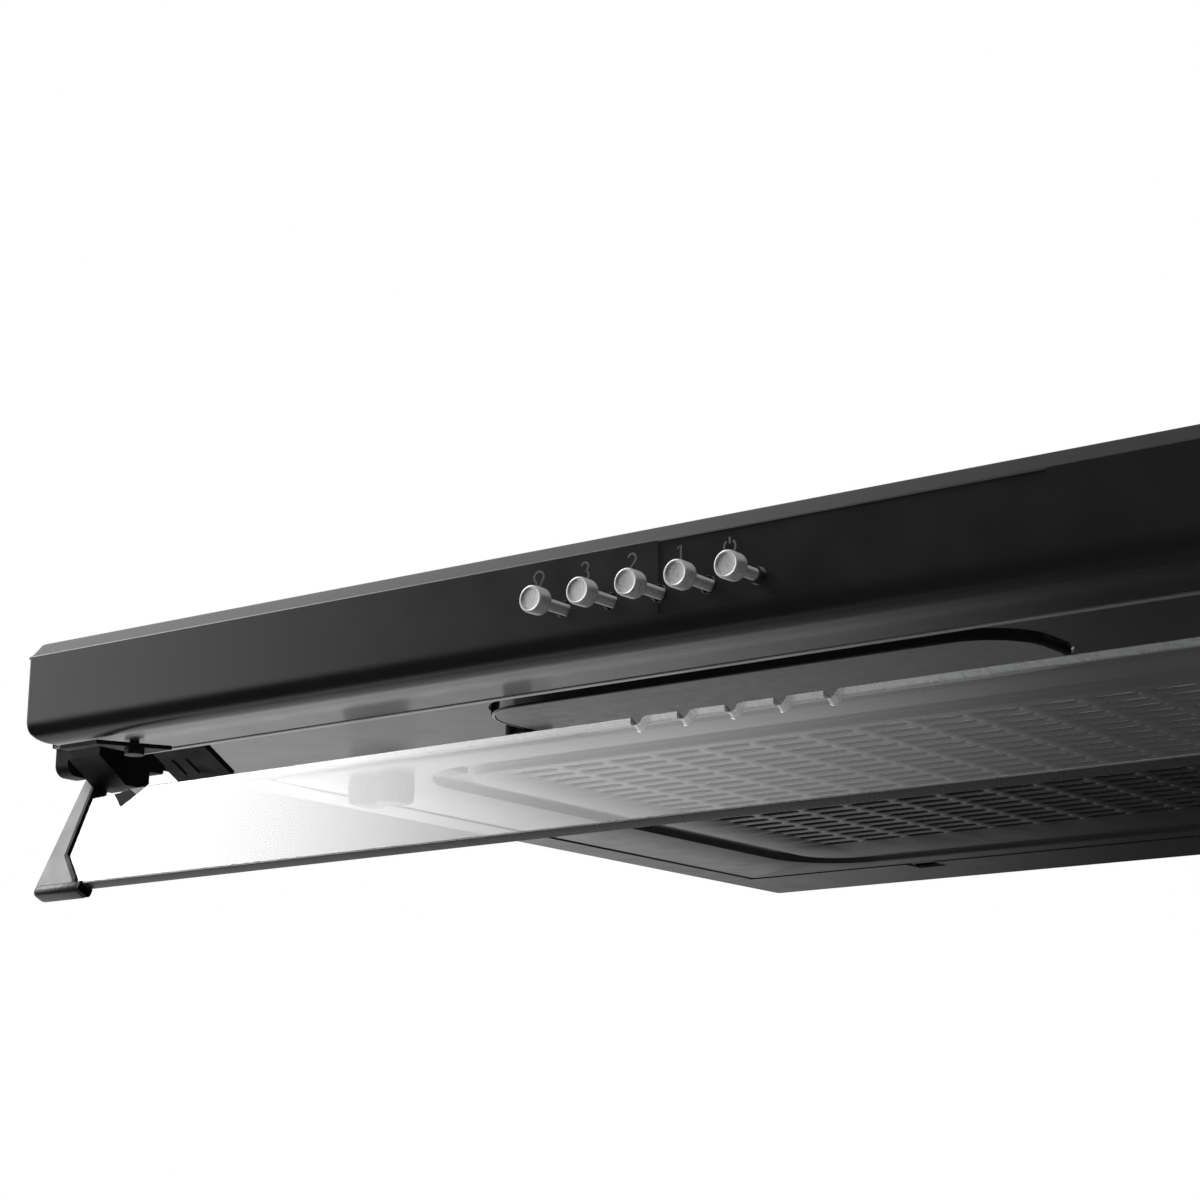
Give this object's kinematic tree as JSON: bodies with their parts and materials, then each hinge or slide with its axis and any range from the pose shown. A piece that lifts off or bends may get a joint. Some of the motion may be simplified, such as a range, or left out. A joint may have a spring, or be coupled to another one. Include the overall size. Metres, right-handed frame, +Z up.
{
  "type": "under cabinet range hood",
  "caption": "Slim under cabinet range hood with a fold-out glass visor, push buttons, slotted drop-down grille, lamp window, blower and round top duct collar.",
  "frame": {"origin": "centre of the four cabinet screw holes, on the flat top face", "axes": "+X along the hood to its right end seen from the front, +Y back to the wall, +Z up into the cabinet"},
  "size_m": [0.6, 0.5425, 0.177],
  "materials": {
    "painted_sheet": "satin black powder coat",
    "fascia_paint": "semi gloss black enamel",
    "strip_paint": "satin black enamel that mirrors the hob",
    "zinc_screw": "zinc plated",
    "reflector": "bright",
    "diffuser": "frosted",
    "black_plastic": "moulded, fine grain",
    "ceramic": "glazed",
    "lamp_glass": "opal",
    "button_metal": "turned satin metal with a bright rim",
    "steel_pin": "bright steel",
    "visor_glass": "clear toughened glass with ground edges",
    "visor_cap": "grey moulded plastic",
    "zinc_sheet": "galvanised",
    "filter_fleece": "needled fleece",
    "latch_plastic": "moulded",
    "housing_plastic": "moulded",
    "impeller_plastic": "moulded",
    "motor_metal": "zinc coated steel",
    "copper": "enamelled copper",
    "bronze": "sintered bronze",
    "capacitor_can": "drawn can",
    "loom_sleeve": "braided sleeve"
  },
  "bodies": {
    "housing": {"canopy_shell": "painted_sheet", "side_panel_left": "painted_sheet", "side_panel_right": "painted_sheet", "front_fascia": "fascia_paint", "front_strip": "strip_paint", "switch_screws": "zinc_screw", "bracket_screws": "zinc_screw", "scroll_screws": "zinc_screw", "collar_screws": "zinc_screw", "lamp_tray": "reflector", "lamp_diffuser": "diffuser", "diffuser_catch": "black_plastic", "hinge_bracket_left": "black_plastic", "hinge_bracket_right": "black_plastic", "switch_bank": "black_plastic", "outlet_collar": "black_plastic", "cable_gland": "black_plastic", "lamp_holder_left": "ceramic", "lamp_holder_right": "ceramic", "lamp_left": "lamp_glass", "lamp_right": "lamp_glass", "hinge_pins": "steel_pin", "grille_hinge_pins": "steel_pin", "flap_pin": "steel_pin", "grille_hinge_clips": "zinc_sheet", "scroll_cover": "zinc_sheet", "scroll_housing": "housing_plastic", "terminal_box": "housing_plastic", "terminal_lid": "housing_plastic", "motor_casing": "motor_metal", "motor_stator": "motor_metal", "motor_windings": "copper", "motor_bearings": "bronze", "capacitor": "capacitor_can", "wiring_loom": "loom_sleeve"},
    "visor": {"visor_glass": "visor_glass", "visor_cap_left": "visor_cap", "visor_cap_right": "visor_cap"},
    "grille": {"grille_panel": "painted_sheet", "grease_filter": "filter_fleece", "filter_wires": "steel_pin", "latch_guides": "latch_plastic"},
    "latch_left": {"latch_left": "latch_plastic"},
    "latch_right": {"latch_right": "latch_plastic"},
    "button_light": {"button_light": "button_metal"},
    "button_speed_3": {"button_speed_3": "button_metal"},
    "button_speed_2": {"button_speed_2": "button_metal"},
    "button_speed_1": {"button_speed_1": "button_metal"},
    "button_power": {"button_power": "button_metal"},
    "rotor": {"impeller": "impeller_plastic", "motor_shaft": "steel_pin", "motor_rotor": "motor_metal"},
    "flap_front": {"flap_front": "black_plastic"},
    "flap_rear": {"flap_rear": "black_plastic"}
  },
  "joints": [
    {"name": "visor_fold", "type": "hinge", "parent": "housing", "child": "visor", "pos_m": [0, -0.281, -0.0935], "axis": [1, 0, 0], "range_deg": [0, 116]},
    {"name": "grille_drop", "type": "hinge", "parent": "housing", "child": "grille", "pos_m": [0, 0.161, -0.079], "axis": [1, 0, 0], "range_deg": [0, 90]},
    {"name": "latch_left_slide", "type": "slide", "parent": "grille", "child": "latch_left", "axis": [1, 0, 0], "range_m": [0, 0.01], "stiffness_N_per_m": 150},
    {"name": "latch_right_slide", "type": "slide", "parent": "grille", "child": "latch_right", "axis": [-1, 0, 0], "range_m": [0, 0.01], "stiffness_N_per_m": 150},
    {"name": "impeller_spin", "type": "hinge", "parent": "housing", "child": "rotor", "pos_m": [-0.075, -0.05, -0.032], "axis": [0, 0, 1], "continuous": true},
    {"name": "flap_front_swing", "type": "hinge", "parent": "housing", "child": "flap_front", "pos_m": [0, 0.075, 0.012], "axis": [1, 0, 0], "range_deg": [-75, 0]},
    {"name": "flap_rear_swing", "type": "hinge", "parent": "housing", "child": "flap_rear", "pos_m": [0, 0.075, 0.012], "axis": [1, 0, 0], "range_deg": [0, 75]},
    {"name": "button_light_press", "type": "slide", "parent": "housing", "child": "button_light", "axis": [0, 1, 0], "range_m": [0, 0.004], "stiffness_N_per_m": 300},
    {"name": "button_speed_3_press", "type": "slide", "parent": "housing", "child": "button_speed_3", "axis": [0, 1, 0], "range_m": [0, 0.004], "stiffness_N_per_m": 300},
    {"name": "button_speed_2_press", "type": "slide", "parent": "housing", "child": "button_speed_2", "axis": [0, 1, 0], "range_m": [0, 0.004], "stiffness_N_per_m": 300},
    {"name": "button_speed_1_press", "type": "slide", "parent": "housing", "child": "button_speed_1", "axis": [0, 1, 0], "range_m": [0, 0.004], "stiffness_N_per_m": 300},
    {"name": "button_power_press", "type": "slide", "parent": "housing", "child": "button_power", "axis": [0, 1, 0], "range_m": [0, 0.004], "stiffness_N_per_m": 300}
  ]
}
